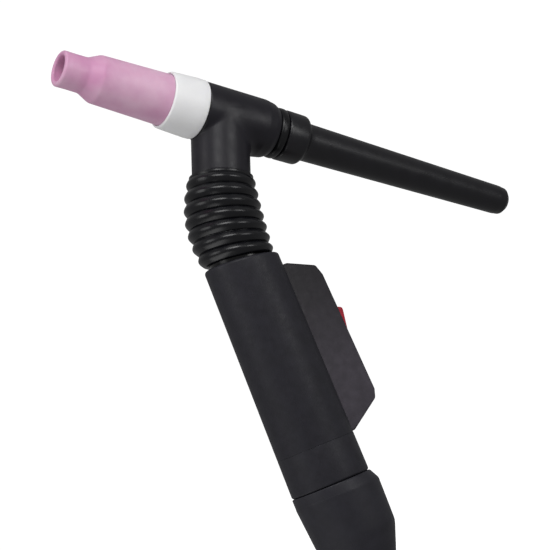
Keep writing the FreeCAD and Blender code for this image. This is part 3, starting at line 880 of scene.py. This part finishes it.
def build_back_cap():
    cap = outline([
        (0.0, CAP_TIP, 0),
        (3.1, CAP_TIP, 1.9),
        (5.0, 121.4, 1.6),
        (5.4, 118.6, 3.0),
        (7.0, 36.0, 3.0),
        (7.1, 34.7, 0.8),
        (9.2, 32.9, 1.6),
        (9.35, CAP_FRONT, 0.9),
        (CAP_SOCKET_RADIUS, CAP_FRONT, 0),
        (CAP_SOCKET_RADIUS, CAP_SOCKET_END, 0),
        (ELECTRODE_ROOM, CAP_SOCKET_END, 0),
        (ELECTRODE_ROOM, ELECTRODE_ROOM_END, 0),
        (0.0, ELECTRODE_ROOM_END, 0),
    ])
    look = (CAP, "cap", "cap_plastic", ["back_cap"])
    lathe("long_back_cap", cap, HEAD, CAP_DIR, *look)
    ring = outline([
        (CAP_SOCKET_RADIUS, SEAL_FRONT, 0.3),
        (SEAL_RADIUS, SEAL_FRONT, 1.3),
        (SEAL_RADIUS, SEAL_BACK, 1.3),
        (CAP_SOCKET_RADIUS, SEAL_BACK, 0.3),
    ])
    look = (RING, "cap", "o_ring", ["back_cap_o_ring"])
    lathe("cap_seal_ring", ring, HEAD, CAP_DIR, *look)


# ---------------------------------------------------------------- inner pieces
def finish_inner_pieces():
    """Materials for the pieces whose CAD shape is shown as it is."""
    looks = {
        "conduit_socket": BRASS,
        "power_adaptor": BRASS,
        "head_core": BRASS,
        "neck_ferrule": BRASS,
        "back_cap_insert": BRASS,
        "collet_body": COPPER,
        "collet": COPPER,
        "tungsten_electrode": TUNGSTEN,
        "trigger_pin": STEEL,
        "microswitch_brackets": STEEL,
        "microswitch_terminals": STEEL,
        # the box plastic carries painted shade at the top and painted light towards the foot
        "microswitch_body": PAINTED_LIGHT_BOX_PLASTIC,
        "microswitch_plunger": RED,
        "switch_leads": INSULATION,
    }
    for node, material in looks.items():
        piece = frame["nodes"][node]
        for place in piece.material_slots:
            place.link = "OBJECT"
            place.material = material


# ---------------------------------------------------------------- studio
# Lengths are in metres, apart from the lens and its sensor in millimetres, and powers in watts.
CAMERA_YAW = math.radians(32.48)
CAMERA_PITCH = math.radians(-3.01)
CAMERA_ROLL = math.radians(-22.05)
CAMERA_DISTANCE = 1.002
CAMERA_CLIP = 0.05
SENSOR = 36.0
LENS = 183.3
AIM_SHIFT = Vector((-0.0188, 0.02076))
AMBIENT = 0.27
BACKGROUND = 1.05
FLOOR_HALF_SIDE = 3.0
FLOOR_LEVEL = -0.004
FLOOR_GLOW = 0.85
WHITE = (1, 1, 1, 1)


def view_axes():
    """Camera's right, up and back directions."""
    back = Vector((
        -math.sin(CAMERA_YAW) * math.cos(CAMERA_PITCH),
        -math.cos(CAMERA_YAW) * math.cos(CAMERA_PITCH),
        math.sin(CAMERA_PITCH),
    ))
    right = UP.cross(back).normalized()
    up = back.cross(right)
    c, s = math.cos(CAMERA_ROLL), math.sin(CAMERA_ROLL)
    return right * c + up * s, up * c - right * s, back


def build_camera():
    right, up, back = view_axes()
    camera = add_object("camera", bpy.data.cameras.new("camera"))
    camera.data.sensor_width = SENSOR
    camera.data.lens = LENS
    camera.data.clip_start = CAMERA_CLIP
    place = PIVOT + back * CAMERA_DISTANCE - right * AIM_SHIFT.x - up * AIM_SHIFT.y
    turn = Matrix((right, up, back)).transposed().to_4x4()
    camera.matrix_world = Matrix.Translation(place) @ turn
    bpy.context.scene.camera = camera


def soft_light(name, offset, size, power):
    """Rectangular softbox at an offset from the pivot, aimed at it."""
    light = bpy.data.lights.new(name, "AREA")
    light.shape = "RECTANGLE"
    light.size = size[0]
    light.size_y = size[1]
    light.energy = power
    lamp = add_object(name, light)
    lamp.location = PIVOT + offset
    lamp.rotation_euler = (-offset).to_track_quat("-Z", "Y").to_euler()


def build_world():
    """Dim even light on the torch, and a white background for the camera."""
    world = bpy.data.worlds.new("studio")
    bpy.context.scene.world = world
    world.use_nodes = True
    tree = world.node_tree
    tree.nodes.clear()
    out = tree.nodes.new("ShaderNodeOutputWorld")
    mix = tree.nodes.new("ShaderNodeMixShader")
    path = tree.nodes.new("ShaderNodeLightPath")
    tree.links.new(path.outputs["Is Camera Ray"], mix.inputs["Fac"])
    for socket, strength in ((1, AMBIENT), (2, BACKGROUND)):
        light = tree.nodes.new("ShaderNodeBackground")
        light.inputs["Color"].default_value = WHITE
        light.inputs["Strength"].default_value = strength
        tree.links.new(light.outputs["Background"], mix.inputs[socket])
    tree.links.new(mix.outputs["Shader"], out.inputs["Surface"])


def build_floor():
    """Pale floor just under the torch: it shows to the camera and stays out of reflections."""
    mesh = bpy.data.meshes.new("floor")
    signs = ((-1, -1), (1, -1), (1, 1), (-1, 1))
    corners = [(x * FLOOR_HALF_SIDE, y * FLOOR_HALF_SIDE, FLOOR_LEVEL) for x, y in signs]
    mesh.from_pydata(corners, [], [(0, 1, 2, 3)])
    floor = add_object("floor", mesh)
    pale = Surface("pale_floor", (0.92, 0.92, 0.92), 0.8)
    pale.color_from(pale.noise(3.0), 0.3, 0.8, (0.91, 0.91, 0.91), (0.93, 0.93, 0.93))
    pale.shader.inputs["Emission Color"].default_value = WHITE
    pale.shader.inputs["Emission Strength"].default_value = FLOOR_GLOW
    mesh.materials.append(pale.material)
    floor.visible_glossy = False
    floor.visible_diffuse = False
    floor.visible_shadow = False


def build_studio():
    right, up, back = view_axes()
    soft_light("key_box", back * 0.52 + up * 0.62 - right * 0.12, (0.42, 0.40), 3.3)
    soft_light("side_box", back * 0.42 + up * 0.38 + right * 0.50, (0.26, 0.42), 1.3)
    soft_light("fill_box", back * 0.35 - right * 0.70 + up * 0.05, (0.35, 0.70), 1.6)
    soft_light("low_box", back * 0.25 - up * 0.72 - right * 0.25, (0.90, 0.30), 1.3)
    bpy.context.scene.view_settings.view_transform = "Standard"
    build_world()
    build_floor()


build_handle()
build_boot()
build_switch()
build_lever()
build_neck()
build_head()
build_front()
build_back_cap()
finish_inner_pieces()
build_camera()
build_studio()
